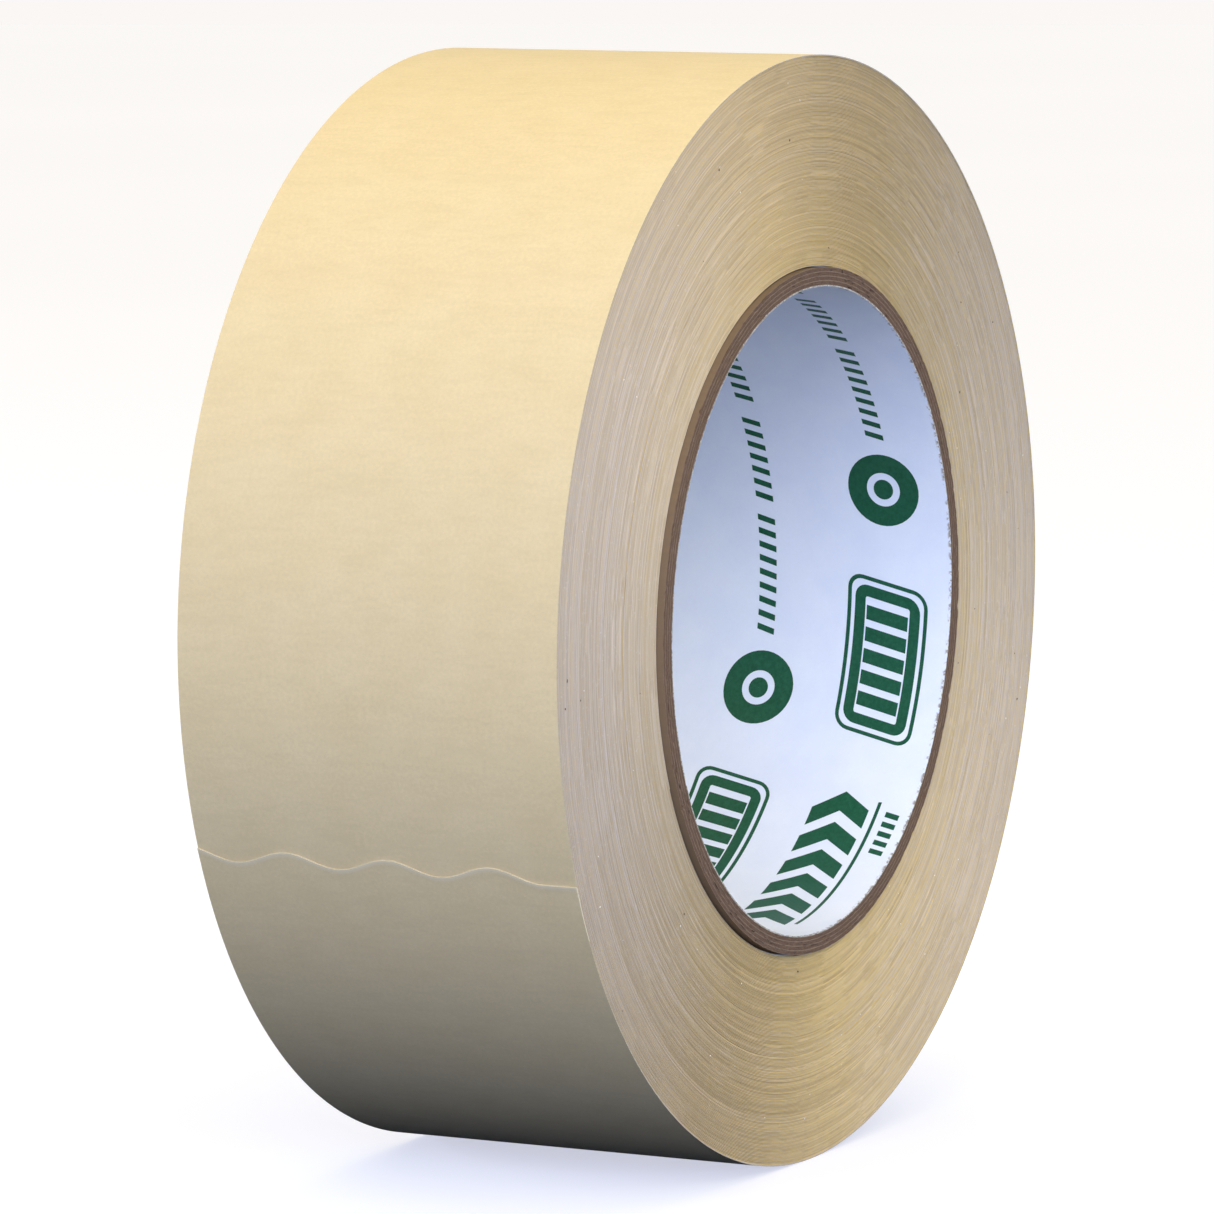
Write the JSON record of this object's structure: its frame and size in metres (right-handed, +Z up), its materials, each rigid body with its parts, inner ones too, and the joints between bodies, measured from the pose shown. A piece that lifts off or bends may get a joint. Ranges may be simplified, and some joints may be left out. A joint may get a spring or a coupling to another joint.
{
  "type": "masking tape roll",
  "caption": "Crepe paper masking tape wound on a board core, with a free end that peels up and folds back from the rim.",
  "frame": {"origin": "middle of the core's bore, half way along the roll's width", "axes": "+Y along the roll's axis, +Z up as the roll stands on its rim, the tape's free end on the -X side"},
  "size_m": [0.1302, 0.0494, 0.1303],
  "materials": {
    "crepe_paper": "matte",
    "tape_edge": "matte",
    "adhesive": "satin",
    "core_board": "matte",
    "liner_paper": "satin"
  },
  "bodies": {
    "roll": {"core_liner": "liner_paper", "tape_windings": "tape_edge", "outer_turn_backing": "crepe_paper", "outer_turn_adhesive": "adhesive", "core_ply_1": "core_board", "core_ply_2": "core_board", "core_ply_3": "core_board", "core_ply_4": "core_board"},
    "tape_end_1": {"tape_end_backing_1": "crepe_paper", "tape_end_adhesive_1": "adhesive"},
    "tape_end_2": {"tape_end_backing_2": "crepe_paper", "tape_end_adhesive_2": "adhesive"},
    "tape_end_3": {"tape_end_backing_3": "crepe_paper", "tape_end_adhesive_3": "adhesive"}
  },
  "joints": [
    {"name": "peel_1", "type": "hinge", "parent": "roll", "child": "tape_end_1", "pos_m": [-0.04801, 0, -0.04413], "axis": [0, -1, 0], "range_deg": [0, 60]},
    {"name": "peel_2", "type": "hinge", "parent": "tape_end_1", "child": "tape_end_2", "pos_m": [-0.05305, 0, -0.03793], "axis": [0, -1, 0], "range_deg": [0, 60]},
    {"name": "peel_3", "type": "hinge", "parent": "tape_end_2", "child": "tape_end_3", "pos_m": [-0.0573, 0, -0.03115], "axis": [0, -1, 0], "range_deg": [0, 60]}
  ],
  "couplings": [
    {"joint": "peel_2", "follows": "peel_1", "ratio": 1},
    {"joint": "peel_3", "follows": "peel_1", "ratio": 1}
  ]
}
